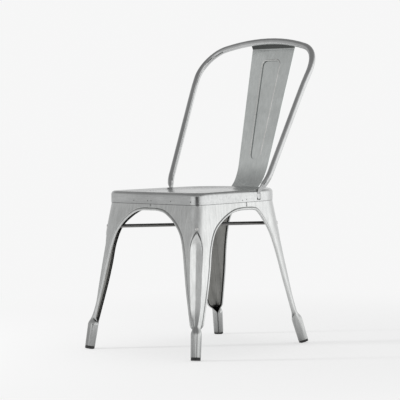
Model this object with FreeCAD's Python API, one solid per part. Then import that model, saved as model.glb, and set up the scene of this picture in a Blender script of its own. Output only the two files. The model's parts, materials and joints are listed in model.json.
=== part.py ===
import FreeCAD, Part
import math
import os
from FreeCAD import Vector

# A bistro chair of bare sheet steel, in millimetres.
# X is across the chair, +X on the sitter's left. -Y is the front. Z is up from the floor.
# The sizes below are laid out about the middle of the four feet, and every piece is
# moved by feet_middle at the end, so that the origin is under the middle of the chair.
feet_middle = -29.6

# Sheet and gaps
sheet = 1.2
weld_gap = 0.15

# Seat pan
seat_front_half = 182.0
seat_rear_half = 162.0
seat_front_reach = 191.6
seat_rear_reach = 189.4
seat_front_radius = 43.6
seat_rear_radius = 131.4
skirt_bottom = 402.3
seat_top = 433.5
rim_radius = 10.5
rim_flat = 8.0
dish_width = 22.0
dish_depth = 4.0
notch_width = 14.0
notch_bottom = 405.0

# Leg cage: the four legs are cut from one flared box of sheet.
# Each triple is the size at the top, its growth per mm downwards, and how that growth bends.
cage_top = 402.0
collar_top = 422.0
joint_inset = sheet + weld_gap
front_half = (seat_front_half - joint_inset, 0.1021, -0.000068)
front_reach = (seat_front_reach - joint_inset, 0.1645, -0.00011)
front_radius = (seat_front_radius - joint_inset, -0.0683, -0.000105)
rear_half = (seat_rear_half - joint_inset, 0.0045, 0.0)
rear_reach = (seat_rear_reach - joint_inset, 0.194, -0.000195)
rear_radius = (seat_rear_radius - joint_inset, -0.103, -0.000595)
cage_levels = (402.0, 340.0, 270.0, 180.0, 92.0)
cage_bottom = cage_levels[-1]
side_seam_y = 4.6
seam_gap = 0.1

# Arches: points on the middle of the rolled bead, from the crown to the knee.
# Front and rear arches are across X and Z, the side arch across Y and Z.
front_crown = 387.6
rear_crown = 387.0
side_crown = 384.0
front_arch = ((30.4, 387.0), (61.5, 379.7), (99.4, 355.0), (126.8, 322.8),
              (142.0, 282.0), (153.8, 231.8), (166.2, 175.8), (187.2, 92.0))
rear_arch = ((28.8, 385.9), (55.4, 372.7), (78.2, 342.7), (93.4, 301.1),
             (106.5, 250.8), (121.0, 183.8), (143.6, 92.0))
side_arch_front = ((-24.6, 383.4), (-56.2, 377.4), (-96.9, 358.0), (-129.9, 330.1),
                   (-149.4, 286.1), (-160.5, 231.8), (-174.5, 176.0), (-199.9, 92.0))
side_arch_rear = ((33.7, 382.6), (54.3, 374.2), (85.9, 338.2), (107.2, 304.6),
                  (129.4, 253.3), (155.4, 179.3), (189.5, 92.0))

# Turned-in edge of each arch
bead_half = 3.6
edge_depth = 6.0
arch_start = 120.0
arch_reach = 400.0

# Flute pressed into each outer corner
flute_slope = 0.45
flute_half = 34.0
flute_reach = 30.0
flute_top = 326.0
flute_nose = 48.0
flute_tail = 42.0
flute_bottom = 98.0
flute_steps = 13
flute_front_depth = 13.2
flute_rear_depth = 10.0

# Feet: where each tube's axis meets the floor, and its lean per mm of height
front_foot = (206.4, 233.05)
front_lean = (0.089, 0.143)
rear_foot = (166.2, 233.05)
rear_lean = (0.176, 0.234)
knee_u_level = 84.0
knee_u_radius = 17.6
knee_u_arm = 6.0
knee_lap = 4.0
knee_inset = 0.25
knee_ring_level = 76.0
knee_ring_radius = 15.8
knee_ring_mouth = 30.0
knee_setback_front = 8.0
knee_setback_rear = 3.4
tube_top_level = 69.0
tube_top_radius = 14.6
tube_end_radius = 13.7
tube_end_level = 2.0
slit_mouth = 2.0
crease_depth = 1.7
crease_slope = 1.0
crease_half = 5.0
strip_steps = 6

# Glides
glide_radius = 13.0
glide_sole = 8.0
glide_plug = 12.0
glide_plug_radius = 9.6
glide_wear = 1.2

# Braces
brace_radius = 4.8
brace_bore = 3.7
brace_low_level = 336.5
brace_high_level = 339.8
brace_tab_height = 13.8
brace_tab_thick = 2.6
brace_tab_length = 14.0
brace_crimp = 9.0
brace_gap = 0.05
brace_foot_width = 17.0
corner_slope = 0.19
rivet_radius = 2.5
rivet_head_radius = 4.2
rivet_head = 1.8
rivet_bed = 0.3

# Back hoop
hoop_radius = 8.7
hoop_wall = 1.2
hoop_top = 841.4
hoop_top_arc = 577.9
hoop_top_sweep = 15.2
hoop_corner_arc = 84.9
hoop_side_heading = 94.85
hoop_lean_low = 0.476
hoop_lean_extra = 0.305
hoop_lean_level = 746.4
hoop_lean_blend = 14.64
hoop_lean_y = 208.0
hoop_side_end = 476.0
hoop_top_steps = 6
hoop_corner_steps = 12
hoop_side_steps = 12
hoop_neck = ((187.3, 73.2, 465.0), (184.3, 67.6, 455.0), (180.2, 62.4, 446.0))
tongue_y = 54.0
nearly_round = 1.0005
crimp = (((176.0, 58.4, 438.0), 7.8, 6.0, (-0.45, -0.38, -0.81)),
         ((171.6, 55.4, 431.0), 6.3, 3.0, (-0.25, -0.2, -0.95)))
tongue_sections = ((424.0, 5.6, 1.05), (413.0, 5.6, 1.05), (407.0, 1.9, 0.75))

# Back splat
splat_sheet = 1.5
splat_reach = 120.0
splat_lean = 0.279
splat_mid_z = 660.0
splat_mid_y = 259.2
splat_top_z = 818.0
splat_lip = ((301.2, 828.0), (296.6, 835.0), (290.7, 839.0))
splat_bend_z = 500.0
splat_foot = ((177.0, 433.6), (182.8, 439.0), (193.6, 452.0), (206.3, 476.0))
splat_half_slope = 0.0757
splat_half_foot = 52.0
splat_top_arc = 560.0
panel_top_z = 789.0
panel_bottom_z = 507.0
panel_half_foot = 18.5
panel_half_slope = 0.056
panel_corner = 16.0
panel_depth = 2.2
panel_wall = 2.6


def plan(radius, angle):
    "A level vector of this length, at this angle from +X in radians."
    return Vector(radius * math.cos(angle), radius * math.sin(angle), 0)


def size_at(law, level):
    "A cage dimension at this height."
    start, growth, bend = law
    drop = cage_top - level
    return start + growth * drop + bend * drop * drop


def cage_sizes(level):
    "All six cage dimensions at this height."
    laws = (front_half, front_reach, front_radius, rear_half, rear_reach, rear_radius)
    return [size_at(law, level) for law in laws]


seat_sizes = (seat_front_half, seat_front_reach, seat_front_radius,
              seat_rear_half, seat_rear_reach, seat_rear_radius)


class Outline:
    "A plan outline: straight front, tapering sides and straight rear, with rounded corners."

    def __init__(self, sizes, amount, level):
        half_f, reach_f, radius_f, half_r, reach_r, radius_r = sizes
        self.level = level
        self.turn = math.atan2(half_f - half_r, reach_f + reach_r)
        stand = half_f * math.cos(self.turn) - reach_f * math.sin(self.turn)
        self.front_centre = self.centre(stand, radius_f - reach_f, radius_f)
        self.rear_centre = self.centre(stand, reach_r - radius_r, radius_r)
        self.front_radius = radius_f - amount
        self.rear_radius = radius_r - amount
        self.stand = stand - amount
        self.front_y = amount - reach_f
        self.rear_y = reach_r - amount

    def centre(self, stand, y, radius):
        "The middle of a corner that touches the side and the front or rear."
        x = (stand - radius - y * math.sin(self.turn)) / math.cos(self.turn)
        return Vector(x, y, self.level)

    def front_arc(self):
        angles = (-math.pi / 2, (self.turn - math.pi / 2) / 2, self.turn)
        return [self.front_centre + plan(self.front_radius, a) for a in angles]

    def rear_arc(self):
        angles = (self.turn, (self.turn + math.pi / 2) / 2, math.pi / 2)
        return [self.rear_centre + plan(self.rear_radius, a) for a in angles]

    def wire(self):
        front = self.front_arc()
        rear = self.rear_arc()
        left_rear = [flip(p) for p in reversed(rear)]
        left_front = [flip(p) for p in reversed(front)]
        return Part.Wire([
            Part.Arc(*front).toShape(),
            Part.makeLine(front[2], rear[0]),
            Part.Arc(*rear).toShape(),
            Part.makeLine(rear[2], left_rear[0]),
            Part.Arc(*left_rear).toShape(),
            Part.makeLine(left_rear[2], left_front[0]),
            Part.Arc(*left_front).toShape(),
            Part.makeLine(left_front[2], front[0]),
        ])

    def y_at(self, x, front):
        "Where the front or rear edge stands, at this distance from the middle."
        centre = self.front_centre if front else self.rear_centre
        radius = self.front_radius if front else self.rear_radius
        if x <= centre.x:
            return self.front_y if front else self.rear_y
        rise = math.sqrt(radius * radius - (x - centre.x) ** 2)
        return centre.y - rise if front else centre.y + rise

    def x_at(self, y):
        "Where the side stands, at this place from front to rear."
        for centre, radius, sign in ((self.front_centre, self.front_radius, -1),
                                     (self.rear_centre, self.rear_radius, 1)):
            if sign * (y - centre.y - radius * math.sin(self.turn)) > 0:
                return centre.x + math.sqrt(radius * radius - (y - centre.y) ** 2)
        return (self.stand - y * math.sin(self.turn)) / math.cos(self.turn)


def flip(point):
    "The same point on the other side of the chair."
    return Vector(-point.x, point.y, point.z)


def prism(outline, top):
    "An upright block from an outline up to this height."
    return Part.Face(outline.wire()).extrude(Vector(0, 0, top - outline.level))


def block(x_range, y_range, z_range):
    "A box between two corners."
    low = Vector(x_range[0], y_range[0], z_range[0])
    return Part.makeBox(x_range[1] - x_range[0], y_range[1] - y_range[0], z_range[1] - z_range[0], low)


def spline(points):
    "A smooth edge through a few points."
    curve = Part.BSplineCurve()
    curve.interpolate([Vector(*p) for p in points])
    return curve.toShape()


def placed(shape, origin, x_way, z_way):
    "The shape moved so that its own X and Z run these ways from this origin."
    y_way = z_way.cross(x_way)
    moved = shape.copy()
    moved.Placement = FreeCAD.Placement(FreeCAD.Matrix(
        x_way.x, y_way.x, z_way.x, origin.x,
        x_way.y, y_way.y, z_way.y, origin.y,
        x_way.z, y_way.z, z_way.z, origin.z,
        0, 0, 0, 1))
    return moved


def seat_block(amount):
    "The seat pan as a filled block, moved inwards by an amount."
    top = seat_top - amount
    body = prism(Outline(seat_sizes, amount, skirt_bottom), top)
    rim = [edge for edge in body.Edges if abs(edge.BoundBox.ZMin - top) < 0.01]
    body = body.makeFillet(rim_radius - amount, rim)
    lift = 1.0
    spread = dish_width * lift / dish_depth
    mouth = Outline(seat_sizes, rim_radius + rim_flat - spread, top + lift)
    floor = Outline(seat_sizes, rim_radius + rim_flat + dish_width, top - dish_depth)
    return body.cut(Part.makeLoft([mouth.wire(), floor.wire()], True, True))


def tongue_x():
    "Where the side skirt stands, beside the hoop's tongue."
    return Outline(seat_sizes, 0, 0).x_at(tongue_y)


def make_seat():
    pan = seat_block(0.0).cut(seat_block(sheet))
    across = (tongue_x() - rim_radius - sheet, tongue_x() + sheet)
    along = (tongue_y - notch_width / 2, tongue_y + notch_width / 2)
    upright = (notch_bottom, seat_top + sheet)
    notch = block(across, along, upright)
    return pan.cut([notch, notch.mirror(Vector(0, 0, 0), Vector(1, 0, 0))])


def cage_block(amount):
    "The flared box that the legs are cut from, filled, and moved inwards by an amount."
    wires = [Outline(cage_sizes(level), amount, level).wire() for level in cage_levels]
    flared = Part.makeLoft(wires, True, False)
    collar = prism(Outline(cage_sizes(cage_top), amount, cage_top), collar_top)
    return flared.fuse(collar)


def along(start, end):
    "A straight run, as its length and the point at each share of it."
    return start.distanceToPoint(end), lambda share: start + (end - start) * share


def around(centre, radius, start, end, ways):
    "A round run in plan, from one angle to another, measured between two directions."
    sweep = end - start
    first, second = ways

    def point(share):
        angle = start + sweep * share
        return centre + first * (radius * math.cos(angle)) + second * (radius * math.sin(angle))
    return abs(sweep) * radius, point


def walk(runs, count):
    "Points evenly spaced over a few joined runs, both ends included."
    total = sum(length for length, point in runs)
    points = []
    for step in range(count + 1):
        left = total * step / count
        for length, point in runs:
            if left <= length + 1e-9:
                points.append(point(left / length))
                break
            left -= length
    return points


class Leg:
    "A leg on the +X side: its corner, its knee and its foot."

    def __init__(self, front):
        self.front = front
        self.away = -1 if front else 1
        self.out = Vector(1, self.away, 0).normalize()
        self.across = Vector(1, -self.away, 0).normalize()
        self.foot = front_foot if front else rear_foot
        self.lean = front_lean if front else rear_lean
        self.setback = knee_setback_front if front else knee_setback_rear
        self.depth = flute_front_depth if front else flute_rear_depth
        self.arch = front_arch if front else rear_arch
        self.crown = front_crown if front else rear_crown
        self.side_arch = side_arch_front if front else side_arch_rear

    def axis(self, level):
        "The middle of the foot tube at this height."
        x = self.foot[0] - self.lean[0] * level
        y = self.foot[1] - self.lean[1] * level
        return Vector(x, self.away * y, level)

    def axis_way(self):
        "The way up the foot tube."
        return Vector(-self.lean[0], -self.away * self.lean[1], 1).normalize()

    def corner(self, level, amount):
        "The outline at this height, and the centre and radius of this leg's corner."
        outline = Outline(cage_sizes(level), amount, level)
        if self.front:
            return outline, outline.front_centre, outline.front_radius
        return outline, outline.rear_centre, outline.rear_radius

    def ridge(self, level):
        "The outermost point of the corner at this height."
        outline, centre, radius = self.corner(level, 0)
        return centre + self.out * radius

    def cage_strip(self, level, amount):
        "Points round the corner where the cage ends, from the face arm to the side arm."
        outline, centre, radius = self.corner(level, amount)
        end_x = self.arch[-1][0]
        end_y = self.side_arch[-1][0]
        face_end = Vector(end_x, outline.y_at(end_x, self.front), level)
        side_end = Vector(outline.x_at(end_y), end_y, level)
        ways = (Vector(1, 0, 0), Vector(0, self.away, 0))
        middle = math.pi / 4
        face_angle = math.acos(max(end_x - centre.x, 0) / radius)
        turn = -self.away * -outline.turn if self.front else outline.turn
        side_angle = max(self.away * (end_y - centre.y) / radius, self.away * math.sin(outline.turn))
        side_angle = math.asin(side_angle)
        to_face = [around(centre, radius, middle, face_angle, ways)]
        if end_x < centre.x:
            to_face.append(along(to_face[0][1](1), face_end))
        to_side = [around(centre, radius, middle, side_angle, ways)]
        if to_side[0][1](1).distanceToPoint(side_end) > 0.1:
            to_side.append(along(to_side[0][1](1), side_end))
        return self.both_ways(to_face, to_side)

    def knee_strip(self, level, amount):
        "Points round the knee where it is a U."
        centre = self.axis(level) - self.out * self.setback
        radius = knee_u_radius - amount
        ways = (self.out, self.across)
        halves = []
        for side in (-1, 1):
            bend = around(centre, radius, 0, side * math.pi / 2, ways)
            end = bend[1](1)
            halves.append([bend, along(end, end - self.out * knee_u_arm)])
        return self.both_ways(*halves)

    def ring_strip(self, level, radius, mouth):
        "Points round the foot tube, from one side of its slit to the other."
        open_angle = math.pi - math.radians(mouth)
        ways = (self.out, self.across)
        halves = [[around(self.axis(level), radius, 0, side * open_angle, ways)] for side in (-1, 1)]
        return self.both_ways(*halves)

    def both_ways(self, to_face, to_side):
        "One list of points: from the face end to the ridge, and on to the side end."
        face = walk(to_face, strip_steps)
        side = walk(to_side, strip_steps)
        return list(reversed(face)) + side[1:]

    def knee_levels(self, amount):
        "The strips from the end of the cage down to the floor."
        return [
            self.cage_strip(cage_bottom + knee_lap, amount),
            self.cage_strip(cage_bottom, amount),
            self.knee_strip(knee_u_level, amount),
            self.ring_strip(knee_ring_level, knee_ring_radius - amount, knee_ring_mouth),
            self.ring_strip(tube_top_level, tube_top_radius - amount, slit_mouth),
            self.ring_strip(tube_end_level, tube_end_radius - amount, slit_mouth),
        ]

    def knee_shell(self):
        "The sheet of the knee and the foot tube."
        wires = []
        for outer, inner in zip(self.knee_levels(knee_inset), self.knee_levels(sheet - knee_inset)):
            edges = [spline(outer), Part.makeLine(outer[-1], inner[-1])]
            edges += [spline(list(reversed(inner))), Part.makeLine(inner[0], outer[0])]
            wires.append(Part.Wire(edges))
        return Part.makeLoft(wires, True, True)

    def knee_filled(self):
        "The same knee and tube as a filled solid."
        wires = [Part.Wire([spline(p), Part.makeLine(p[-1], p[0])]) for p in self.knee_levels(0)]
        return Part.makeLoft(wires, True, True)

    def groove(self, middle, depth, slope, half, reach, drop):
        "A V section, open outwards, cut into the corner below this point."
        valley = middle - self.out * (depth + drop)
        wings = [valley + self.across * (side * half) + self.out * (half * slope) for side in (-1, 1)]
        tops = [wing + self.out * (reach + drop) for wing in wings]
        return Part.makePolygon([valley, wings[1], tops[1], tops[0], wings[0], valley])

    def flute_depth(self, level):
        "How far below the ridge the flute's valley lies."
        nose = max(level - (flute_top - flute_nose), 0) / flute_nose
        tail = max(flute_bottom + flute_tail - level, 0) / flute_tail
        return self.depth * (1 - nose * nose - tail * tail)

    def flute(self, drop):
        "The tool that presses the flute."
        top = flute_top + 8
        bottom = flute_bottom - 14
        wires = []
        for step in range(flute_steps + 1):
            level = top + (bottom - top) * step / flute_steps
            depth = self.flute_depth(level)
            wires.append(self.groove(self.ridge(level), depth, flute_slope, flute_half, flute_reach, drop))
        return Part.makeLoft(wires, True, False)

    def crease(self, drop):
        "The tool that presses the crease down the foot tube."
        wires = []
        for level, radius in ((knee_ring_level, knee_ring_radius), (tube_top_level, tube_top_radius),
                              (tube_end_level - 1, tube_end_radius)):
            middle = self.axis(level) + self.out * radius
            wires.append(self.groove(middle, crease_depth, crease_slope, crease_half, crease_half, drop))
        return Part.makeLoft(wires, True, True)


def arch_tool(places, grow, on_side):
    "A long block with the shape of an arch's opening, grown or shrunk all round."
    bottom = cage_bottom - bead_half - 1
    points = [Vector(0, a, z) if on_side else Vector(a, 0, z) for a, z in places]
    low = [Vector(p.x, p.y, bottom) for p in (points[-1], points[0])]
    wire = Part.Wire([spline(points), Part.makeLine(points[-1], low[0]),
                      Part.makeLine(low[0], low[1]), Part.makeLine(low[1], points[0])])
    if grow:
        wire = wire.makeOffset2D(grow, 0, False, False, False).toNurbs()
    way = Vector(1, 0, 0) if on_side else Vector(0, 1, 0)
    wire.translate(way * arch_start)
    return Part.Face(wire).extrude(way * (arch_reach - arch_start))


def both_arms(points, crown):
    "A whole arch from its right half."
    return [(-a, z) for a, z in reversed(points)] + [(0.0, crown)] + list(points)


def arch_tools(grow):
    "The openings of all four arches."
    side = list(reversed(side_arch_front)) + [(side_seam_y, side_crown)] + list(side_arch_rear)
    across = Vector(1, 0, 0)
    along_y = Vector(0, 1, 0)
    middle = Vector(0, 0, 0)
    side_tool = arch_tool(side, grow, True)
    front_tool = arch_tool(both_arms(front_arch, front_crown), grow, False).mirror(middle, along_y)
    rear_tool = arch_tool(both_arms(rear_arch, rear_crown), grow, False)
    return [front_tool, rear_tool, side_tool, side_tool.mirror(middle, across)]


def make_cage():
    "The flared sheet box, with its four arches cut and their edges turned in."
    void = cage_block(sheet).cut(arch_tools(sheet - bead_half))
    void = void.fuse(cage_block(edge_depth))
    return cage_block(0.0).cut(void).cut(arch_tools(-bead_half))


def make_leg(cage, front):
    "One pressed leg on the +X side."
    leg = Leg(front)
    half_gap = seam_gap / 2
    y_range = (-arch_reach, side_seam_y - half_gap) if front else (side_seam_y + half_gap, arch_reach)
    quarter = block((half_gap, arch_reach), y_range, (0, collar_top + 1))
    flute = leg.flute(0.0)
    crease = leg.crease(0.0)
    flute_sheet = leg.flute(sheet * math.hypot(1, flute_slope)).cut(flute)
    crease_sheet = leg.crease(sheet * math.hypot(1, crease_slope)).cut(crease)
    wing = cage.common(quarter).cut(flute).fuse(flute_sheet.common(cage_block(0.0)))
    knee = leg.knee_shell().cut(crease).fuse(crease_sheet.common(leg.knee_filled()))
    way = leg.axis_way()
    foot_end = Part.makeCylinder(40, 40, leg.axis(0) + way * (glide_sole + glide_lift(leg)), way * -1)
    return wing.fuse(knee).cut(foot_end)


def glide_lift(leg):
    "How high the middle of a tilted sole stands, after it has worn flat."
    return glide_radius * math.hypot(*leg.lean) / math.sqrt(1 + leg.lean[0] ** 2 + leg.lean[1] ** 2) - glide_wear


def make_glide(front):
    "A rubber cup under a foot tube, worn flat on the floor."
    leg = Leg(front)
    way = leg.axis_way()
    sole = leg.axis(0) + way * glide_lift(leg)
    cup = Part.makeCylinder(glide_radius, glide_sole, sole, way)
    plug = Part.makeCylinder(glide_plug_radius, glide_plug, sole + way * glide_sole, way)
    floor = block((0, 400), (-400, 400), (-40, 0))
    return cup.fuse(plug).cut(floor).removeSplitter()


def hoop_side():
    "Points down the right half of the hoop, from its top: arcs in its own leaning plane."
    stretch = math.hypot(1, hoop_lean_low)
    base = hoop_lean_level
    heading = 0.0
    x = 0.0
    q = (hoop_top - base) * stretch
    points = [(x, q)]
    end_heading = math.radians(hoop_side_heading)
    for radius, turn_to, steps in ((hoop_top_arc, math.radians(hoop_top_sweep), hoop_top_steps),
                                   (hoop_corner_arc, end_heading, hoop_corner_steps)):
        centre = (x - radius * math.sin(heading), q - radius * math.cos(heading))
        for step in range(1, steps + 1):
            angle = heading + (turn_to - heading) * step / steps
            points.append((centre[0] + radius * math.sin(angle), centre[1] + radius * math.cos(angle)))
        x, q = points[-1]
        heading = turn_to
    low = (hoop_side_end - base) * stretch
    for step in range(1, hoop_side_steps + 1):
        drop = (q - low) * step / hoop_side_steps
        points.append((x + drop / math.tan(end_heading), q - drop))
    return [hoop_place(x, base + q / stretch) for x, q in points]


def hoop_place(x, level):
    "A point of the hoop: its sides lean back, and lean back more above the bend."
    rise = level - hoop_lean_level
    extra = hoop_lean_blend * math.log(1 + math.exp(rise / hoop_lean_blend))
    return Vector(x, hoop_lean_y + hoop_lean_low * rise + hoop_lean_extra * extra, level)


def ellipse(centre, half_width, half_thick, way, wide_way):
    "An oval section square to the way, wide along the other direction."
    long_axis = (wide_way - way * way.dot(wide_way)).normalize()
    short_axis = way.cross(long_axis)
    return Part.Wire(Part.Ellipse(centre + long_axis * half_width, centre + short_axis * half_thick, centre).toShape())


def hollow(outside, bore):
    "A closed solid with a closed bore inside it."
    return Part.makeSolid(Part.makeCompound([outside.Shells[0], bore.Shells[0].reversed()]))


def make_hoop():
    "The bent tube, hollow, with a crimped tongue at each end."
    right = hoop_side() + [Vector(*p) for p in hoop_neck]
    points = [flip(p) for p in reversed(right)] + right[1:]
    line = spline(points)
    ways = [line.tangentAt(line.Curve.parameter(point)) for point in points]
    back_way = Vector(0, 1, 0)
    rings = [ellipse(p, hoop_radius * nearly_round, hoop_radius, w, back_way) for p, w in zip(points, ways)]
    inner = hoop_radius - hoop_wall
    inner_rings = [ellipse(p, inner * nearly_round, inner, w, back_way) for p, w in zip(points, ways)]
    tongue = Vector(tongue_x(), tongue_y, 0)
    sections = [rings[-1]]
    for centre, half_width, half_thick, way in crimp:
        sections.append(ellipse(Vector(*centre), half_width, half_thick, Vector(*way).normalize(), back_way))
    for level, half_width, half_thick in tongue_sections:
        sections.append(ellipse(tongue + Vector(0, 0, level), half_width, half_thick, Vector(0, 0, -1), back_way))
    neck = Part.makeLoft(sections, True, False)
    tube = Part.makeLoft(rings, True, True)
    outside = tube.fuse([neck, neck.mirror(Vector(0, 0, 0), Vector(1, 0, 0))])
    return hollow(outside, Part.makeLoft(inner_rings[1:-1], True, True))


def splat_line(y_shift):
    "The splat's side view, from its foot to the lip behind the hoop."
    lean_y = lambda level: splat_mid_y + splat_lean * (level - splat_mid_z)
    bend = Vector(0, lean_y(splat_bend_z), splat_bend_z)
    top = Vector(0, lean_y(splat_top_z), splat_top_z)
    straight = top - bend
    straight.normalize()
    foot = Part.BSplineCurve()
    foot_points = [Vector(0, y, z) for y, z in splat_foot] + [bend]
    foot.interpolate(Points=foot_points, InitialTangent=Vector(0, 0.7, 0.7), FinalTangent=straight)
    lip = Part.BSplineCurve()
    lip_points = [top] + [Vector(0, y, z) for y, z in splat_lip]
    lip.interpolate(Points=lip_points, InitialTangent=straight, FinalTangent=Vector(0, -0.8, 0.6))
    wire = Part.Wire([foot.toShape(), Part.makeLine(bend, top), lip.toShape()])
    wire.translate(Vector(-splat_reach, y_shift, 0))
    return wire


def splat_ribbon(y_shift, thickness):
    "A wide ribbon of sheet with the splat's side view."
    band = splat_line(y_shift).makeOffset2D(thickness, 0, True, True, False).toNurbs()
    return band.extrude(Vector(2 * splat_reach, 0, 0))


def upright_tool(points, corner):
    "A block through the splat from an outline across X and Z."
    wire = Part.makePolygon([Vector(x, 0, z) for x, z in points] + [Vector(points[0][0], 0, points[0][1])])
    block_shape = Part.Face(wire).extrude(Vector(0, arch_reach, 0))
    if corner:
        ends = [e for e in block_shape.Edges if e.BoundBox.YLength > arch_reach / 2]
        block_shape = block_shape.makeFillet(corner, ends)
    return block_shape


def splat_outline():
    "The splat's front view: a taper under a top edge that follows the hoop."
    top = splat_lip[-1][1]
    half = lambda level: splat_half_foot + splat_half_slope * (level - splat_foot[0][1])
    shoulder = top - half(top) ** 2 / (2 * splat_top_arc)
    low = splat_foot[0][1]
    corner = Vector(half(shoulder), 0, shoulder)
    arc = Part.Arc(corner, Vector(0, 0, top), flip(corner)).toShape()
    base = Vector(half(low), 0, low)
    wire = Part.Wire([arc, Part.makeLine(flip(corner), flip(base)), Part.makeLine(flip(base), base),
                      Part.makeLine(base, corner)])
    return Part.Face(wire).extrude(Vector(0, arch_reach, 0))


def panel_outline(shrink):
    "The pressed panel's front view, moved inwards."
    half = lambda level: panel_half_foot + panel_half_slope * (level - panel_bottom_z) - shrink
    low = panel_bottom_z + shrink
    high = panel_top_z - shrink
    return upright_tool([(half(low), low), (half(high), high), (-half(high), high), (-half(low), low)],
                        panel_corner - shrink)


def make_splat():
    shift = panel_depth
    plain = splat_ribbon(0.0, splat_sheet).cut(panel_outline(0.0))
    pressed = splat_ribbon(shift, splat_sheet).common(panel_outline(0.0))
    wall = splat_ribbon(0.0, splat_sheet + shift).common(panel_outline(0.0).cut(panel_outline(panel_wall)))
    whole = plain.fuse([pressed, wall])
    return whole.common(splat_outline())


def brace_foot(leg, level):
    "Where a brace's foot plate meets its leg corner: its middle, and the way out of the corner."
    outline, centre, radius = leg.corner(level, sheet)
    half = brace_foot_width / 2
    sag = radius - math.sqrt(radius * radius - half * half)
    face = centre + leg.out * (radius - sag - weld_gap)
    out = (leg.out + Vector(0, 0, corner_slope)).normalize()
    return face, out


def brace_root(leg, level):
    "Where the middle of a brace's flat tab meets its foot plate, which it joins at one edge."
    face, out = brace_foot(leg, level)
    return face - out * (brace_tab_thick / 2) - leg.across * ((brace_foot_width - brace_tab_thick) / 2)


def brace_crossing(level):
    "Where the two braces cross, at this height."
    front = brace_root(Leg(True), brace_low_level)
    rear = brace_root(Leg(False), brace_low_level)
    share = front.x / (front.x + rear.x)
    return Vector(0, front.y + (rear.y - front.y) * share, level)


def brace_level(front, left):
    "The height of the brace that reaches this leg. The higher one joins the front left leg."
    return brace_high_level if front == left else brace_low_level


def make_rivet(front, left):
    "The rivet through a leg's corner and the brace's foot plate behind it."
    leg = Leg(front)
    face, out = brace_foot(leg, brace_level(front, left))
    reach = (leg.ridge(face.z) - face).dot(out) - rivet_bed
    start = face - out * brace_tab_thick
    shank = Part.makeCylinder(rivet_radius, brace_tab_thick + reach, start, out)
    rivet = shank.fuse([rivet_button(face + out * reach, out), rivet_button(start, out * -1)])
    rivet = rivet.removeSplitter()
    return rivet if left else rivet.mirror(Vector(0, 0, 0), Vector(1, 0, 0))


def rivet_button(base, way):
    "A domed rivet head on this base."
    button = Part.makeCylinder(rivet_head_radius, rivet_head, base, way)
    far = base + way * rivet_head
    rim = [e for e in button.Edges if len(e.Vertexes) == 1 and e.CenterOfMass.distanceToPoint(far) < 0.01]
    return button.makeFillet(rivet_head * 0.7, rim)


def make_brace_pin():
    "The rivet through both braces where they cross."
    low = brace_crossing(brace_low_level - brace_radius)
    high = brace_crossing(brace_low_level + 3 * brace_radius + brace_gap)
    up = Vector(0, 0, 1)
    shank = Part.makeCylinder(rivet_radius, high.z - low.z, low, up)
    return shank.fuse([rivet_button(high, up), rivet_button(low, up * -1)]).removeSplitter()


def brace_half(leg, level, crossing):
    "Half of a brace, as its outer sections, its bore sections and its flat end."
    root = brace_root(leg, level)
    way = (crossing - root).normalize()
    up = Vector(0, 0, 1)
    flat = root + way * brace_tab_length
    start = flat + way * brace_crimp
    outer = [ellipse(flat, brace_tab_height / 2, brace_tab_thick / 2, way, up),
             ellipse(start, brace_radius * nearly_round, brace_radius, way, up)]
    bore = [ellipse(start + way, brace_bore * nearly_round, brace_bore, way, up)]
    face, out = brace_foot(leg, level)
    tab = Part.makeBox(brace_tab_height, brace_tab_thick, brace_tab_length + 1,
                       Vector(-brace_tab_height / 2, -brace_tab_thick / 2, 0))
    plate = Part.makeBox(brace_foot_width, brace_tab_height, brace_tab_thick,
                         Vector(-brace_foot_width / 2, -brace_tab_height / 2, -brace_tab_thick))
    tab_up = (up - way * way.z).normalize()
    return outer, bore, [placed(tab, root, tab_up, way), placed(plate, face, leg.across, out)]


def make_brace(level, middle_level):
    "The brace that joins the front left and rear right corners."
    crossing = brace_crossing(middle_level)
    mirrored = (Vector(0, 0, 0), Vector(1, 0, 0))
    outer, bore, ends = brace_half(Leg(True), level, crossing)
    far_outer, far_bore, far_ends = brace_half(Leg(False), level, crossing)
    middle_way = (brace_root(Leg(True), level) - flip(brace_root(Leg(False), level))).normalize()
    up = Vector(0, 0, 1)
    outer.append(ellipse(crossing, brace_radius * nearly_round, brace_radius, middle_way, up))
    bore.append(ellipse(crossing, brace_bore * nearly_round, brace_bore, middle_way, up))
    outer += [section.mirror(*mirrored) for section in reversed(far_outer)]
    bore += [section.mirror(*mirrored) for section in reversed(far_bore)]
    tube = hollow(Part.makeLoft(outer, True, True), Part.makeLoft(bore, True, True))
    return tube.fuse(ends + [end.mirror(*mirrored) for end in far_ends])


def pieces():
    "Every piece of the chair, by name."
    mirrored = (Vector(0, 0, 0), Vector(1, 0, 0))
    cage = make_cage()
    rivets = {(front, left): make_rivet(front, left) for front in (True, False) for left in (True, False)}
    pin = make_brace_pin()
    high = make_brace(brace_high_level, brace_low_level + 2 * brace_radius + brace_gap)
    low = make_brace(brace_low_level, brace_low_level).mirror(*mirrored)
    made = {
        "seat_pan": make_seat(),
        "back_hoop": make_hoop(),
        "back_splat": make_splat(),
        "brace_high": high.cut([rivets[True, True], rivets[False, False], pin]),
        "brace_low": low.cut([rivets[True, False], rivets[False, True], pin]),
        "brace_pin": pin,
        "leg_rivets": Part.makeCompound(list(rivets.values())),
    }
    for place, front in (("front", True), ("rear", False)):
        leg = make_leg(cage, front)
        glide = make_glide(front)
        made["leg_" + place + "_left"] = leg.cut(rivets[front, True])
        made["leg_" + place + "_right"] = leg.mirror(*mirrored).cut(rivets[front, False])
        made["glide_" + place + "_left"] = glide
        made["glide_" + place + "_right"] = glide.mirror(*mirrored)
    return made


def main():
    os.makedirs("parts", exist_ok=True)
    for name, shape in pieces().items():
        shape.translate(Vector(0, feet_middle, 0))
        shape.exportStep("parts/" + name + ".step")
        print(name, shape.isValid(), len(shape.Solids), round(shape.Volume))


main()
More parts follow.
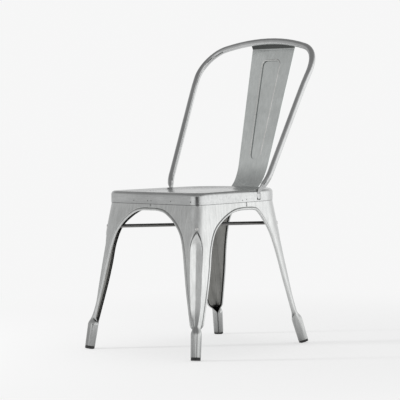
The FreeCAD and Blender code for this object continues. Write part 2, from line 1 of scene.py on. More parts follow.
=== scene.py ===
import json
import math

import bpy
from mathutils import Matrix, Vector


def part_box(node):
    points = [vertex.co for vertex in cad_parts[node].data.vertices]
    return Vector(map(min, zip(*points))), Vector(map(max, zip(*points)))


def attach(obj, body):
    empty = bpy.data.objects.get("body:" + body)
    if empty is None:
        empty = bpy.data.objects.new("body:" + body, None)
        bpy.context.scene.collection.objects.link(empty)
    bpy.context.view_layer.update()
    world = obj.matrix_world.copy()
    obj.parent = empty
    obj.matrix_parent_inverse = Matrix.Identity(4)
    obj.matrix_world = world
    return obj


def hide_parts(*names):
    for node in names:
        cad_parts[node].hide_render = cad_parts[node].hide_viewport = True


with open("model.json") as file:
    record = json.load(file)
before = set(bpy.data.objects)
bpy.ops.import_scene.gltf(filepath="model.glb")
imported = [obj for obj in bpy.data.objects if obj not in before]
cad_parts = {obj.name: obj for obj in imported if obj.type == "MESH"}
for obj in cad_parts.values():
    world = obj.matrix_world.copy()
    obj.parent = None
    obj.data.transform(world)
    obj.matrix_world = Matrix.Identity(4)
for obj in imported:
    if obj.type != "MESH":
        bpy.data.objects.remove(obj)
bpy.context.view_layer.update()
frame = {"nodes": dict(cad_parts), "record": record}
nodes = frame["nodes"]
mm = 0.001
print("stage: frame loaded,", len(nodes), "nodes")

# The chair's sizes are in mm about the middle of its four feet, which stands here in the frame.
feetMiddle = -29.6


# Shader maths: a socket that can be added, scaled and compared like a number.
class Wire:
    def __init__(self, board, socket):
        self.board = board
        self.socket = socket

    def math(self, kind, *others):
        return self.board.maths(kind, self, *others)

    def __add__(self, other):
        return self.math("ADD", other)

    def __sub__(self, other):
        return self.math("SUBTRACT", other)

    def __mul__(self, other):
        return self.math("MULTIPLY", other)

    def __rsub__(self, other):
        return self.board.maths("SUBTRACT", other, self)

    __radd__ = __add__
    __rmul__ = __mul__

    def clamped(self, low, high):
        return self.math("MAXIMUM", low).math("MINIMUM", high)

    def between(self, low, high):
        return self.board.node("ShaderNodeMapRange", {"interpolation_type": "SMOOTHSTEP"}, {
            "Value": self, "From Min": low, "From Max": high})["Result"]


class Board:
    def __init__(self, tree):
        self.tree = tree
        tree.nodes.clear()

    # Any node: its type, its settings, then the values or wires of its sockets.
    def node(self, kind, settings=None, inputs=None):
        made = self.tree.nodes.new(kind)
        for name, value in (settings or {}).items():
            setattr(made, name, value)
        for name, value in (inputs or {}).items():
            socket = made.inputs[name]
            if isinstance(value, Wire):
                self.tree.links.new(value.socket, socket)
            else:
                socket.default_value = value
        return {out.name: Wire(self, out) for out in reversed(made.outputs) if out.enabled}

    def maths(self, kind, *values):
        return self.node("ShaderNodeMath", {"operation": kind}, dict(enumerate(values)))["Value"]

    # The colour sockets of a Mix node are its inputs 6 and 7.
    def mixColour(self, share, first, second):
        return self.node("ShaderNodeMix", {"data_type": "RGBA"}, {0: share, 6: first, 7: second})["Result"]

    def height(self):
        return self.node("ShaderNodeSeparateXYZ", {}, {"Vector": self.place(even)})["Z"]

    def place(self, scale):
        coords = self.node("ShaderNodeTexCoord")["Object"]
        return self.node("ShaderNodeMapping", {}, {"Vector": coords, "Scale": scale})["Vector"]

    def noise(self, scale, size, detail, roughness):
        return self.node("ShaderNodeTexNoise", {}, {
            "Vector": self.place(scale), "Scale": size, "Detail": detail, "Roughness": roughness})["Fac"]


even = (1.0, 1.0, 1.0)  # the scale of a pattern that isn't stretched


def grey(value):
    return (value, value, value, 1.0)


# Steel finishes. Streaks run along the axis with the small stretch value.
finishes = {
    "seat_steel": {"shade": 0.60, "tint": (0.985, 1.0, 0.995), "rough": 0.22, "stretch": (1.0, 12.0, 12.0),
                   "streak": 0.30, "dents": 1.0},
    "leg_steel": {"shade": 0.62, "tint": (0.985, 1.0, 0.99), "rough": 0.2, "stretch": (14.0, 14.0, 1.0),
                  "streak": 0.34, "dents": 1.0},
    "hoop_steel": {"shade": 0.56, "tint": (0.99, 1.0, 1.0), "rough": 0.17, "stretch": (8.0, 8.0, 2.0),
                   "streak": 0.2, "dents": 0.25},
    # The legs' inner side: a darker, rougher copy of the leg steel; its darkness is painted shade.
    "leg_inside_painted_shade": {"shade": 0.27, "tint": (1.0, 1.0, 0.95), "rough": 0.42, "stretch": (14.0, 14.0, 1.0),
                   "streak": 0.3, "dents": 0.6},
    # The splat's steel is lighter than the rest: painted light that makes up for the dark ceiling it
    # reflects.
    "splat_steel": {"shade": 0.78, "tint": (0.965, 1.0, 0.985), "rough": 0.24, "stretch": (14.0, 14.0, 1.0),
                    "streak": 0.24, "dents": 0.8},
    "brace_steel": {"shade": 0.2, "tint": (1.0, 0.99, 0.97), "rough": 0.34, "stretch": (4.0, 4.0, 4.0),
                    "streak": 0.2, "dents": 0.2},
    "rivet_steel": {"shade": 0.85, "tint": (1.0, 0.99, 0.97), "rough": 0.14, "stretch": (4.0, 4.0, 4.0),
                    "streak": 0.2, "dents": 0.2},
}
# Painted shade from ambient occlusion: how much a surface darkens within a fold, and inside the legs and
# under the seat.
aoShade = {"fold": 0.03, "foldShare": 0.6, "foldEnds": (0.15, 0.8),
           "hollow": 0.22, "hollowShare": 0.55, "hollowEnds": (0.1, 0.7), "samples": 6}
# The painted shadow line on the legs under the seat's skirt: its place and height in metres, and how much it
# darkens.
skirtShadow = {"level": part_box("seat_pan")[0][2], "line": 0.0022, "core": 0.3, "dark": 0.65}
# Painted shade in creases, by pointiness, and on the splat's lip under the hoop, by height in metres; and
# where the legs darken towards the feet, by height in metres.
paintedShadeAndDarkFeet = {"crease": (0.40, 0.485), "creaseShare": 0.5, "foot": (0.02, 0.12), "footShare": 0.3,
        "lip": (0.818, 0.823), "lipShare": 0.88}
# Each pattern of the steel: its size, detail and roughness. Then what they do to its tone and polish.
grain = {
    "streaks": (38.0, 4.0, 0.7), "bands": (20.0, 2.0, 0.5), "clouds": (9.0, 3.0, 0.6),
    "smears": (34.0, 4.0, 0.65), "dents": (16.0, 1.0, 0.4),
    "worn": (0.35, 0.7), "bandStretch": 0.5,
    "tone": 0.90, "toneWorn": 0.12, "toneSmear": 0.12,
    "roughStreak": 0.12, "roughSmear": 0.12, "roughWorn": 0.03, "roughEnds": (0.08, 0.7),
    "fineStrength": 0.12, "fineDeep": 0.00008, "fineSmear": 0.6, "dentStrength": 0.45, "dentDeep": 0.0018,
}


# Painted shade: how lit a spot is by ambient occlusion, from 1 in the open down to what its share leaves.
def aoShadeFactor(board, kind):
    seen = board.node("ShaderNodeAmbientOcclusion", {"samples": aoShade["samples"]}, {
        "Distance": aoShade[kind]})["AO"]
    share = aoShade[kind + "Share"]
    return 1.0 - share + seen.between(*aoShade[kind + "Ends"]) * share


def steelFinish(slot):
    look = finishes[slot]
    material = bpy.data.materials.new(slot)
    material.use_nodes = True
    board = Board(material.node_tree)
    streaks = board.noise(look["stretch"], *grain["streaks"])
    bands = board.noise(tuple(s * grain["bandStretch"] for s in look["stretch"]), *grain["bands"])
    smears = board.noise(even, *grain["smears"])
    dents = board.noise(even, *grain["dents"])
    worn = board.noise(even, *grain["clouds"]).between(*grain["worn"])
    # Painted shade: the steel's tone darkens in folds and hollows by ambient occlusion.
    paintedShade = aoShadeFactor(board, "fold") * aoShadeFactor(board, "hollow")
    tone = (grain["tone"] + worn * grain["toneWorn"] + (streaks - 0.5) * look["streak"]
            + (smears - 0.5) * grain["toneSmear"] + (bands - 0.5) * look["streak"]) * paintedShade
    if slot == "leg_steel":
        level = board.height()
        # Painted shadow: a dark line on the legs just under the seat's skirt.
        lineTop = skirtShadow["level"] - skirtShadow["core"] * skirtShadow["line"]
        line = level.between(skirtShadow["level"] - skirtShadow["line"], lineTop) * skirtShadow["dark"]
        # Painted shade: the legs darken in their creases, where pointiness is low.
        bent = board.node("ShaderNodeNewGeometry")["Pointiness"].between(*paintedShadeAndDarkFeet["crease"])
        tone = tone * (1.0 - line) * (1.0 - paintedShadeAndDarkFeet["creaseShare"] * (1.0 - bent))
        # The legs darken towards the feet.
        tone = tone * (1.0 - paintedShadeAndDarkFeet["footShare"] * (1.0 - level.between(*paintedShadeAndDarkFeet["foot"])))
    if slot == "splat_steel":
        # Painted shade: the splat's top lip, tucked under the hoop, goes dark.
        tone = tone * (1.0 - board.height().between(*paintedShadeAndDarkFeet["lip"]) * paintedShadeAndDarkFeet["lipShare"])
    shade = board.node("ShaderNodeVectorMath", {"operation": "SCALE"}, {
        0: tuple(look["shade"] * t for t in look["tint"]), "Scale": tone})["Vector"]
    rough = (look["rough"] + (streaks - 0.5) * grain["roughStreak"] + (smears - 0.5) * grain["roughSmear"]
             - worn * grain["roughWorn"]).clamped(*grain["roughEnds"])
    fine = board.node("ShaderNodeBump", {}, {
        "Strength": grain["fineStrength"], "Distance": grain["fineDeep"],
        "Height": streaks + smears * grain["fineSmear"]})["Normal"]
    bump = board.node("ShaderNodeBump", {}, {
        "Strength": grain["dentStrength"] * look["dents"], "Distance": grain["dentDeep"],
        "Height": dents, "Normal": fine})["Normal"]
    shader = board.node("ShaderNodeBsdfPrincipled", {}, {
        "Base Color": shade, "Metallic": 1.0, "Roughness": rough, "Normal": bump})["BSDF"]
    board.node("ShaderNodeOutputMaterial", {}, {"Surface": shader})
    return material


# Rubber with fine dust on it, which lightens it, dulls it and gives it its bump.
rubberLook = {
    "dust": (90.0, 3.0, 0.55), "dustEnds": (0.45, 0.75), "clean": 0.012, "dusty": 0.03,
    "rough": 0.42, "roughDust": 0.3, "bumpStrength": 0.2, "bumpDeep": 0.0003,
}


def rubberFinish():
    material = bpy.data.materials.new("glide_rubber")
    material.use_nodes = True
    board = Board(material.node_tree)
    dust = board.noise(even, *rubberLook["dust"])
    shade = board.mixColour(
        dust.between(*rubberLook["dustEnds"]), grey(rubberLook["clean"]), grey(rubberLook["dusty"]))
    rough = dust * rubberLook["roughDust"] + rubberLook["rough"]
    bump = board.node("ShaderNodeBump", {}, {
        "Strength": rubberLook["bumpStrength"], "Distance": rubberLook["bumpDeep"], "Height": dust})["Normal"]
    shader = board.node("ShaderNodeBsdfPrincipled", {}, {
        "Base Color": shade, "Roughness": rough, "Normal": bump})["BSDF"]
    board.node("ShaderNodeOutputMaterial", {}, {"Surface": shader})
    return material


steels = {slot: steelFinish(slot) for slot in finishes}
rubber = rubberFinish()
slotOf = {row["node"]: row["material_slot"] for row in frame["record"]["subparts"]}
for name, node in nodes.items():
    node.data.materials.clear()
    node.data.materials.append(steels.get(slotOf[name], rubber))
print("stage: finishes on the CAD nodes")


# The flared box that the legs are pressed to: size at the top, growth per mm down, bend of that growth.
cage = {
    "top": 402.0,
    "laws": ((180.65, 0.1021, -0.000068), (190.25, 0.1645, -0.00011), (42.25, -0.0683, -0.000105),
             (160.65, 0.0045, 0.0), (188.05, 0.194, -0.000195), (130.05, -0.103, -0.000595)),
}

# Points on each arch's hole edge, from the crown down to the knee.
arches = {
    "front": ((0.0, 384.0), (29.9, 383.4), (59.9, 376.5), (96.9, 352.3), (123.6, 321.1),
              (138.5, 281.0), (150.3, 231.0), (162.7, 175.0), (183.7, 91.0)),
    "rear": ((0.0, 383.4), (27.9, 382.4), (53.0, 370.0), (74.8, 341.3), (89.9, 300.1),
             (103.0, 249.9), (117.5, 183.0), (140.1, 91.0)),
    "sideFront": ((4.6, 380.4), (-24.1, 379.8), (-54.8, 374.1), (-94.7, 355.2), (-126.7, 328.4),
                  (-145.9, 285.1), (-157.0, 231.0), (-171.0, 175.2), (-196.4, 91.0)),
    "sideRear": ((4.6, 380.4), (32.8, 379.1), (52.2, 371.3), (82.9, 336.2), (104.0, 303.0),
                 (126.0, 252.0), (152.0, 178.2), (186.1, 91.0)),
}
# Each end's feet: which way they face, their place, how the tube leans and how deep the flute is.
feet = {
    "front": {"away": -1, "foot": (206.4, 233.05), "lean": (0.089, 0.143), "flute": 13.2},
    "rear": {"away": 1, "foot": (166.2, 233.05), "lean": (0.176, 0.234), "flute": 10.0},
}
# The rolled edge, the flute, and the tube that the sheet closes to below the knee.
# The groove is (distance past the roll, share of its depth), and fan spreads the rows under the collar.
press = {
    "sheet": 0.6, "seam": 0.12, "collar": 412.0, "turnLevel": 335.0, "steps": 7, "fan": 1.1, "merge": 0.02,
    "roll": 3.8, "rollSunk": 2.1, "rollPoints": 13, "rollStart": 235.0, "rollTurn": 215.0,
    "grooveDeep": 1.0, "groove": ((-0.05, 1.0), (0.6, 0.3), (1.5, 0.0)),
    "spread": 8, "fine": 22, "fineStep": 1.05,
    "fluteTop": 326.0, "fluteNose": 48.0, "fluteBottom": 84.0, "fluteTail": 58.0,
    "fluteSlope": 0.45, "rim": 1.7, "valley": 0.35,
    "kneeLevel": 91.0, "kneeRows": 12, "slitTop": 67.0, "tubeRows": 6, "tubeEnd": 9.1,
    "tubeRadius": (14.6, 13.7), "tubeRoll": 0.75, "tubeSunk": 0.825,
    "slit": 0.5, "crease": 1.6, "creaseSlope": 0.9,
}


# The box's wall at one height, moved outwards, walked from the ridge of a corner.
class Wall:
    def __init__(self, end, level, rise=0.0):
        drop = max(cage["top"] - level, 0.0)
        halfF, reachF, radiusF, halfR, reachR, radiusR = [
            start + growth * drop + bend * drop * drop for start, growth, bend in cage["laws"]]
        turn = math.atan2(halfF - halfR, reachF + reachR)
        stand = halfF * math.cos(turn) - reachF * math.sin(turn)
        self.away = feet[end]["away"]
        self.radius = radiusF if end == "front" else radiusR
        self.cy = radiusF - reachF if end == "front" else reachR - radiusR
        self.cx = (stand - self.radius - self.cy * math.sin(turn)) / math.cos(turn)
        self.sideAngle = turn * self.away
        self.level = level
        self.rise = rise
        self.ridge = self.at(0.0, False)

    def atAngle(self, angle, reach):
        x = self.cx + reach * math.cos(angle)
        y = self.cy + self.away * reach * math.sin(angle)
        return Vector((x, y, self.level))

    def at(self, walk, onSide):
        last = self.sideAngle if onSide else math.pi / 2
        bend = self.radius * abs(last - math.pi / 4)
        reach = self.radius + self.rise
        if walk <= bend:
            turned = walk / self.radius * (1 if last > math.pi / 4 else -1)
            return self.atAngle(math.pi / 4 + turned, reach)
        straight = Vector((math.sin(last), -self.away * math.cos(last), 0.0)) * (1 if onSide else -1)
        return self.atAngle(last, reach) + straight * (walk - bend)

    def walkTo(self, along, onSide):
        if onSide:
            bend = self.radius * (math.pi / 4 - self.sideAngle)
            inSine = self.away * (along - self.cy) / self.radius
            if inSine > math.sin(self.sideAngle):
                return self.radius * (math.pi / 4 - math.asin(min(inSine, 1.0)))
            tangent = self.cy + self.away * self.radius * math.sin(self.sideAngle)
            return bend + abs(along - tangent) / math.cos(self.sideAngle)
        if along > self.cx:
            return self.radius * (math.acos(min((along - self.cx) / self.radius, 1.0)) - math.pi / 4)
        return self.radius * math.pi / 4 + self.cx - along


def smoothRun(points, steps):
    run = []
    for index in range(len(points) - 1):
        a, b = points[index], points[index + 1]
        before = points[index - 1] if index else tuple(2 * p - q for p, q in zip(a, b))
        after = points[index + 2] if index + 2 < len(points) else tuple(2 * q - p for p, q in zip(a, b))
        for step in range(steps):
            t = step / steps
            run.append(tuple(
                0.5 * (2 * p + (q - o) * t + (2 * o - 5 * p + 4 * q - r) * t * t
                       + (3 * p - o - 3 * q + r) * t ** 3)
                for o, p, q, r in zip(before, a, b, after)))
    return run + [tuple(points[-1])]


def softMin(first, second, blend):
    share = min(max(0.5 + 0.5 * (second - first) / blend, 0.0), 1.0)
    return second + (first - second) * share - blend * share * (1 - share)


def fluteDepth(end, level):
    nose = max(level - press["fluteTop"] + press["fluteNose"], 0) / press["fluteNose"]
    tail = max(press["fluteBottom"] + press["fluteTail"] - level, 0) / press["fluteTail"]
    return feet[end]["flute"] * (1 - nose * nose - tail * tail)


# Presses a groove into a point, seen from the ridge: never above the V, with a rounded rim.
def pressed(point, ridge, out, across, depth, slope):
    offset = point - ridge
    reach = offset.dot(out)
    sideways = math.sqrt(offset.dot(across) ** 2 + press["valley"] ** 2)
    return point + out * (softMin(reach, slope * sideways - depth, press["rim"]) - reach)


# Across the sheet, over the roll and out of its groove: (distance from the hole edge, height).
def rollProfile(roll, sunk, groove):
    profile = []
    for step in range(press["rollPoints"]):
        angle = math.radians(press["rollStart"] - press["rollTurn"] * step / (press["rollPoints"] - 1))
        profile.append((roll + roll * math.cos(angle), roll * math.sin(angle) - sunk))
    return profile + [(2 * roll + past, -share * groove) for past, share in press["groove"]]


# Distances along the rest of the sheet: coarse at first, fine near the ridge, even where it is short.
def restOf(length):
    fine = press["fine"] * press["fineStep"]
    count = press["spread"] + press["fine"]
    if length < fine * count / press["fine"]:
        return [length * step / count for step in range(1, count + 1)]
    coarse = [(length - fine) * step / press["spread"] for step in range(1, press["spread"] + 1)]
    return coarse + [length - fine + press["fineStep"] * step for step in range(1, press["fine"] + 1)]


# Half of a pressed leg as rows of points, from its hole edge to the ridge.
def legRows(end, onSide):
    foot = feet[end]
    out = Vector((1, foot["away"], 0)).normalized()
    across = Vector((1, -foot["away"], 0)).normalized()
    edge = []
    key = ("sideFront" if end == "front" else "sideRear") if onSide else end
    for along, level in smoothRun(arches[key], press["steps"]):
        if not edge:
            along += press["seam"] / 2 * (foot["away"] if onSide else 1)
        edge.append((Wall(end, level).walkTo(along, onSide), level))
    turnRow = next(i for i, (walk, level) in enumerate(edge) if level < press["turnLevel"])
    profile = rollProfile(press["roll"], press["rollSunk"], press["grooveDeep"])
    rows = []
    for i, (walk, level) in enumerate(edge):
        before, after = edge[max(i - 1, 0)], edge[min(i + 1, len(edge) - 1)]
        way = Vector((after[0] - before[0], after[1] - before[1])).normalized()
        normal = Vector((way.y, -way.x))
        if i == 0:
            normal = Vector((0.0, 1.0))
        if i == len(edge) - 1:
            normal = Vector((-1.0, 0.0))
        if i < turnRow:
            target = Vector((edge[0][0] * (1 - i / turnRow) ** press["fan"], press["collar"]))
        else:
            share = (edge[turnRow][1] - level) / (edge[turnRow][1] - press["kneeLevel"])
            target = Vector((0.0, press["collar"] + (press["kneeLevel"] - press["collar"]) * share))
        start = Vector((walk, level))
        flats = [(start + normal * far, rise) for far, rise in profile]
        base = flats[-1][0]
        gap = target - base
        flats += [(base + gap * (part / gap.length), 0.0) for part in restOf(gap.length)]
        row = []
        for spot, rise in flats:
            wall = Wall(end, spot.y, rise)
            point = wall.at(max(spot.x, 0.0), onSide)
            ridge = Wall(end, spot.y).ridge
            row.append(pressed(point, ridge, out, across, fluteDepth(end, spot.y), press["fluteSlope"]))
        rows.append(row)
    return rows + footRows(end, onSide, rows, out, across)


def footRows(end, onSide, rows, out, across):
    foot = feet[end]
    lean = Vector((-foot["lean"][0], -foot["away"] * foot["lean"][1], 1.0)).normalized()
    base = Vector((foot["foot"][0], foot["away"] * foot["foot"][1], 0.0))
    outWay = (out - lean * out.dot(lean)).normalized()
    sideWay = lean.cross(outWay) * (1 if lean.cross(outWay).dot(across) > 0 else -1)
    sideWay = sideWay * (1 if onSide else -1)
    profile = rollProfile(press["tubeRoll"], press["tubeSunk"], 0.0)
    topRadius, endRadius = press["tubeRadius"]
    tube = []
    for step in range(press["tubeRows"] + 1):
        share = step / press["tubeRows"]
        height = press["slitTop"] + (press["tubeEnd"] - press["slitTop"]) * share
        radius = topRadius + (endRadius - topRadius) * share
        half = math.pi * radius - press["slit"]
        flats = [(half - far, rise) for far, rise in profile]
        rest = flats[-1][0]
        flats += [(rest - part, 0.0) for part in restOf(rest)]
        ridge = base + lean * height + outWay * radius
        row = []
        for walk, rise in flats:
            turn = walk / radius
            spoke = outWay * math.cos(turn) + sideWay * math.sin(turn)
            point = base + lean * height + spoke * (radius + rise)
            row.append(pressed(point, ridge, outWay, sideWay, press["crease"], press["creaseSlope"]))
        tube.append(row)
    bend = []
    for step in range(1, press["kneeRows"]):
        t = step / press["kneeRows"]
        row = []
        for o, p, q, r in zip(rows[-4], rows[-1], tube[0], tube[1]):
            into = (p - o) * ((p - q).length / max((p - o).length, 0.1))
            onto = (r - q) * ((p - q).length / max((r - q).length, 0.1))
            row.append(p * (2 * t ** 3 - 3 * t ** 2 + 1) + into * (t ** 3 - 2 * t ** 2 + t)
                       + q * (3 * t ** 2 - 2 * t ** 3) + onto * (t ** 3 - t ** 2))
        bend.append(row)
    return bend + tube


def deselect():
    bpy.ops.object.select_all(action="DESELECT")


# A grid primitive bent to rows of points, given in mm about the middle of the feet.
def bentGrid(name, rows, mirror):
    deselect()
    bpy.ops.mesh.primitive_grid_add(x_subdivisions=len(rows[0]) - 1, y_subdivisions=len(rows) - 1, size=2.0)
    grid = bpy.context.active_object
    grid.name = name
    for vertex in grid.data.vertices:
        column = round((vertex.co.x + 1) / 2 * (len(rows[0]) - 1))
        row = round((vertex.co.y + 1) / 2 * (len(rows) - 1))
        spot = rows[row][column]
        vertex.co = (spot.x * mirror * mm, (spot.y + feetMiddle) * mm, spot.z * mm)
    return grid


def joinAll(objects, name):
    deselect()
    for item in objects:
        item.select_set(True)
    bpy.context.view_layer.objects.active = objects[0]
    bpy.ops.object.join()
    objects[0].name = name
    return objects[0]


# A wall on the inner side of a sheet, which takes the sheet's second material.
def thicken(piece, thickness, outside, inside):
    piece.data.materials.clear()
    piece.data.materials.append(steels[outside])
    piece.data.materials.append(steels[inside])
    thick = piece.modifiers.new("sheet", "SOLIDIFY")
    thick.thickness = thickness * mm
    thick.offset = -1.0
    thick.material_offset = 1
    bpy.ops.object.modifier_apply(modifier=thick.name)


smoothAngle = 50.0


def finishPiece(piece, slot):
    bpy.ops.object.shade_smooth_by_angle(angle=math.radians(smoothAngle))
    if not piece.data.materials:
        piece.data.materials.append(steels[slot])
    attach(piece, "root")


def makeLeg(end, hand):
    mirror = 1 if hand == "left" else -1
    halves = [bentGrid("half", legRows(end, onSide), mirror) for onSide in (False, True)]
    for half, onSide in zip(halves, (False, True)):
        face = max(half.data.polygons, key=lambda polygon: polygon.center.z)
        outward = Vector((mirror, 0, 0)) if onSide else Vector((0, feet[end]["away"], 0))
        if face.normal.dot(outward) < 0:
            half.data.flip_normals()
    piece = joinAll(halves, "pressed_leg_%s_%s" % (end, hand))
    bpy.ops.object.mode_set(mode="EDIT")
    bpy.ops.mesh.select_all(action="SELECT")
    bpy.ops.mesh.remove_doubles(threshold=press["merge"] * mm)
    bpy.ops.object.mode_set(mode="OBJECT")
    # The legs' inner side takes a darker steel as painted shade.
    thicken(piece, press["sheet"], "leg_steel", "leg_inside_painted_shade")
    finishPiece(piece, "leg_steel")
    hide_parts("leg_%s_%s" % (end, hand))


for end in feet:
    for hand in ("left", "right"):
        makeLeg(end, hand)
print("stage: pressed legs")

# Spot welds through the skirt: (along, level) in mm, on the front and on the two sides.
welds = {
    "front": ((-62.6, 410.0), (-8.9, 410.0), (4.2, 410.0), (79.8, 410.0), (151.8, 410.0)),
    "side": ((-13.0, 407.4), (3.6, 409.0)),
    "radius": 1.7, "rise": 0.25, "segments": 16, "rings": 8, "reach": 400.0,
}


def makeWeld(spot, inward):
    start = (spot - inward * welds["reach"]) * mm
    hit, place, normal, _ = nodes["seat_pan"].ray_cast(start, inward)
    if not hit:
        return None
    deselect()
    bpy.ops.mesh.primitive_uv_sphere_add(
        segments=welds["segments"], ring_count=welds["rings"], radius=welds["radius"] * mm, location=place)
    dot = bpy.context.active_object
    dot.scale = (1.0, 1.0, welds["rise"] / welds["radius"])
    dot.rotation_euler = Vector(normal).to_track_quat("Z", "Y").to_euler()
    bpy.ops.object.transform_apply(location=True, rotation=True, scale=True)
    return dot


bpy.context.view_layer.update()
dots = [makeWeld(Vector((x, feetMiddle, z)), Vector((0, 1, 0))) for x, z in welds["front"]]
for side in (1, -1):
    dots += [makeWeld(Vector((0, y + feetMiddle, z)), Vector((-side, 0, 0))) for y, z in welds["side"]]
spotWelds = joinAll([dot for dot in dots if dot], "spot_welds")
finishPiece(spotWelds, "brace_steel")
print("stage: spot welds,", len([dot for dot in dots if dot]))


# The raised line round the splat's pressed panel, open at the foot and laid on the splat's front face.
panelLine = {
    "top": 789.0, "bottom": 520.0, "halfFoot": 20.0, "footLevel": 507.0, "slope": 0.056, "corner": 16.0,
    "radius": 1.5, "sunk": 0.4, "sideSteps": 24, "cornerSteps": 8, "roundness": 3,
    "reach": 400.0, "merge": 0.01,
}


def panelHalf(level):
    return panelLine["halfFoot"] + panelLine["slope"] * (level - panelLine["footLevel"])


def makePanelLine():
    bend = panelLine["corner"]
    shoulder = panelLine["top"] - bend
    side = []
    for step in range(panelLine["sideSteps"]):
        level = panelLine["bottom"] + (shoulder - panelLine["bottom"]) * step / panelLine["sideSteps"]
        side.append((panelHalf(level), level))
    for step in range(panelLine["cornerSteps"] + 1):
        angle = math.pi / 2 * step / panelLine["cornerSteps"]
        side.append((panelHalf(shoulder) - bend + bend * math.cos(angle), shoulder + bend * math.sin(angle)))
    outline = side + [(-x, level) for x, level in reversed(side)]
    points = []
    for x, level in outline:
        start = Vector((x, -panelLine["reach"], level)) * mm
        hit, place, normal, _ = nodes["back_splat"].ray_cast(start, Vector((0, 1, 0)))
        if hit:
            points.append(place - normal * panelLine["sunk"] * mm)
    curve = bpy.data.curves.new("panel_line", "CURVE")
    curve.dimensions = "3D"
    curve.bevel_depth = panelLine["radius"] * mm
    curve.bevel_resolution = panelLine["roundness"]
    curve.use_fill_caps = True
    spline = curve.splines.new("POLY")
    spline.points.add(len(points) - 1)
    for knot, place in zip(spline.points, points):
        knot.co = (*place, 1.0)
    line = bpy.data.objects.new("panel_line", curve)
    bpy.context.scene.collection.objects.link(line)
    deselect()
    line.select_set(True)
    bpy.context.view_layer.objects.active = line
    bpy.ops.object.convert(target="MESH")
    bpy.ops.object.mode_set(mode="EDIT")
    bpy.ops.mesh.select_all(action="SELECT")
    bpy.ops.mesh.remove_doubles(threshold=panelLine["merge"] * mm)
    bpy.ops.mesh.normals_make_consistent(inside=False)
    bpy.ops.object.mode_set(mode="OBJECT")
    finishPiece(bpy.context.active_object, "rivet_steel")
    print("stage: panel line,", len(points), "of", len(outline), "points on the splat")


makePanelLine()

# Floor, light and camera

# The floor takes shadows near the chair and fades, in metres, to the backdrop's own light.
studio = {"backdrop": 0.925, "shadowShare": 0.38, "floorReach": 1.9, "floorSides": 96, "matt": 0.9,
          "fade": (0.5, 1.6)}


def lightFloor():
    bpy.ops.mesh.primitive_circle_add(
        vertices=studio["floorSides"], radius=studio["floorReach"], fill_type="NGON")
    floor = bpy.context.active_object
    floor.name = "floor"
    material = bpy.data.materials.new("floor")
    material.use_nodes = True
    board = Board(material.node_tree)
    spot = board.node("ShaderNodeTexCoord")["Object"]
    away = board.node("ShaderNodeVectorMath", {"operation": "LENGTH"}, {0: spot})["Value"]
    share = (1.0 - away.between(*studio["fade"])) * studio["shadowShare"]
    glow = board.node("ShaderNodeEmission", {}, {"Color": grey(studio["backdrop"])})["Emission"]
    matt = board.node("ShaderNodeBsdfDiffuse", {}, {"Color": grey(studio["matt"])})["BSDF"]
    surface = board.node("ShaderNodeMixShader", {}, {0: share, 1: glow, 2: matt})["Shader"]
    board.node("ShaderNodeOutputMaterial", {}, {"Surface": surface})
    floor.data.materials.append(material)


# The room that the steel reflects: grey, with a dark ceiling, a bright back right and a dark strip in front.
# A lobe is its direction, where it starts and where it is full, as cosines, and the light that it adds.
room = {
    "base": 0.64, "diffuse": 0.59,
    "lobes": (((1.0, 0.75, 0.0), 0.45, 0.9, 0.72), ((-1.0, -0.7, 0.0), 0.5, 0.98, -0.04),
              ((0.74, -0.72, 0.0), 0.94, 0.985, -0.6), ((-0.3, 1.0, 0.0), 0.6, 0.95, 0.2),
              ((0.26, -0.97, 0.0), 0.93, 0.99, 0.35), ((0.94, -0.34, 0.0), 0.93, 0.99, 0.3)),
    "ceiling": (0.2, 0.72, 0.5),
}


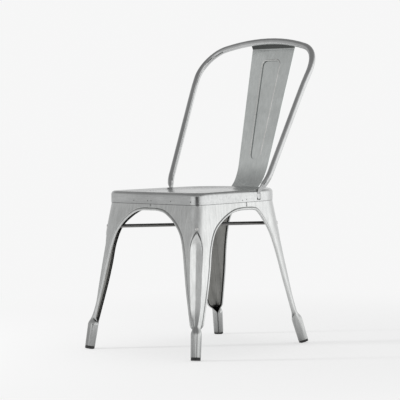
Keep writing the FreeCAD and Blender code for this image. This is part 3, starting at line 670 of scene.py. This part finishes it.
def lightRoom():
    world = bpy.data.worlds.new("studio")
    bpy.context.scene.world = world
    world.use_nodes = True
    board = Board(world.node_tree)
    way = board.node("ShaderNodeTexCoord")["Generated"]

    def towards(direction, low, high):
        unit = tuple(Vector(direction).normalized())
        facing = board.node("ShaderNodeVectorMath", {"operation": "DOT_PRODUCT"}, {0: way, 1: unit})
        return facing["Value"].between(low, high)

    level = room["base"]
    for direction, low, high, share in room["lobes"]:
        level = level + towards(direction, low, high) * share
    low, high, share = room["ceiling"]
    level = level * (1.0 - towards((0.0, 0.0, 1.0), low, high) * share)
    rays = board.node("ShaderNodeLightPath")
    seen, soft = rays["Is Camera Ray"], rays["Is Diffuse Ray"]
    strength = seen * studio["backdrop"] + soft * room["diffuse"] + (1.0 - seen - soft) * level
    glow = board.node("ShaderNodeBackground", {}, {"Color": grey(1.0), "Strength": strength})["Background"]
    board.node("ShaderNodeOutputWorld", {}, {"Surface": glow})


lamps = {
    "overhead": {"place": (-0.4, 0.3, 2.6), "aim": (0.0, 0.0, 0.4), "size": 2.4, "power": 12.0},
    "key": {"place": (-2.2, -2.5, 0.9), "aim": (0.0, 0.0, 0.2), "size": 0.3, "power": 100.0},
}


def hangLamps():
    for name, lamp in lamps.items():
        data = bpy.data.lights.new(name, "AREA")
        data.size = lamp["size"]
        data.energy = lamp["power"]
        made = bpy.data.objects.new(name, data)
        made.location = lamp["place"]
        aim = Vector(lamp["aim"]) - Vector(lamp["place"])
        made.rotation_euler = aim.to_track_quat("-Z", "Y").to_euler()
        made.visible_glossy = False
        bpy.context.scene.collection.objects.link(made)


# The photograph's camera, found by matching the chair's own points.
view = {"azimuth": 45.0, "elevation": 2.847, "roll": -0.868, "distance": 5312.552,
        "aimX": -1.732, "aimZ": 403.318, "lens": 173.963, "sensor": 36.0}


def placeCamera():
    a, e, r = (math.radians(view[k]) for k in ("azimuth", "elevation", "roll"))
    back = Vector((math.sin(a) * math.cos(e), -math.cos(a) * math.cos(e), math.sin(e)))
    level = Vector((math.cos(a), math.sin(a), 0))
    rise = back.cross(level)
    right = level * math.cos(r) + rise * math.sin(r)
    up = rise * math.cos(r) - level * math.sin(r)
    data = bpy.data.cameras.new("camera")
    data.lens = view["lens"]
    data.sensor_width = view["sensor"]
    camera = bpy.data.objects.new("camera", data)
    spot = (Vector((view["aimX"], feetMiddle, view["aimZ"])) + back * view["distance"]) * mm
    camera.matrix_world = Matrix.Translation(spot) @ Matrix((right, up, back)).transposed().to_4x4()
    bpy.context.scene.collection.objects.link(camera)
    bpy.context.scene.camera = camera


lightFloor()
lightRoom()
hangLamps()
placeCamera()
bpy.context.scene.view_settings.view_transform = "Standard"
print("stage: floor, light and camera")
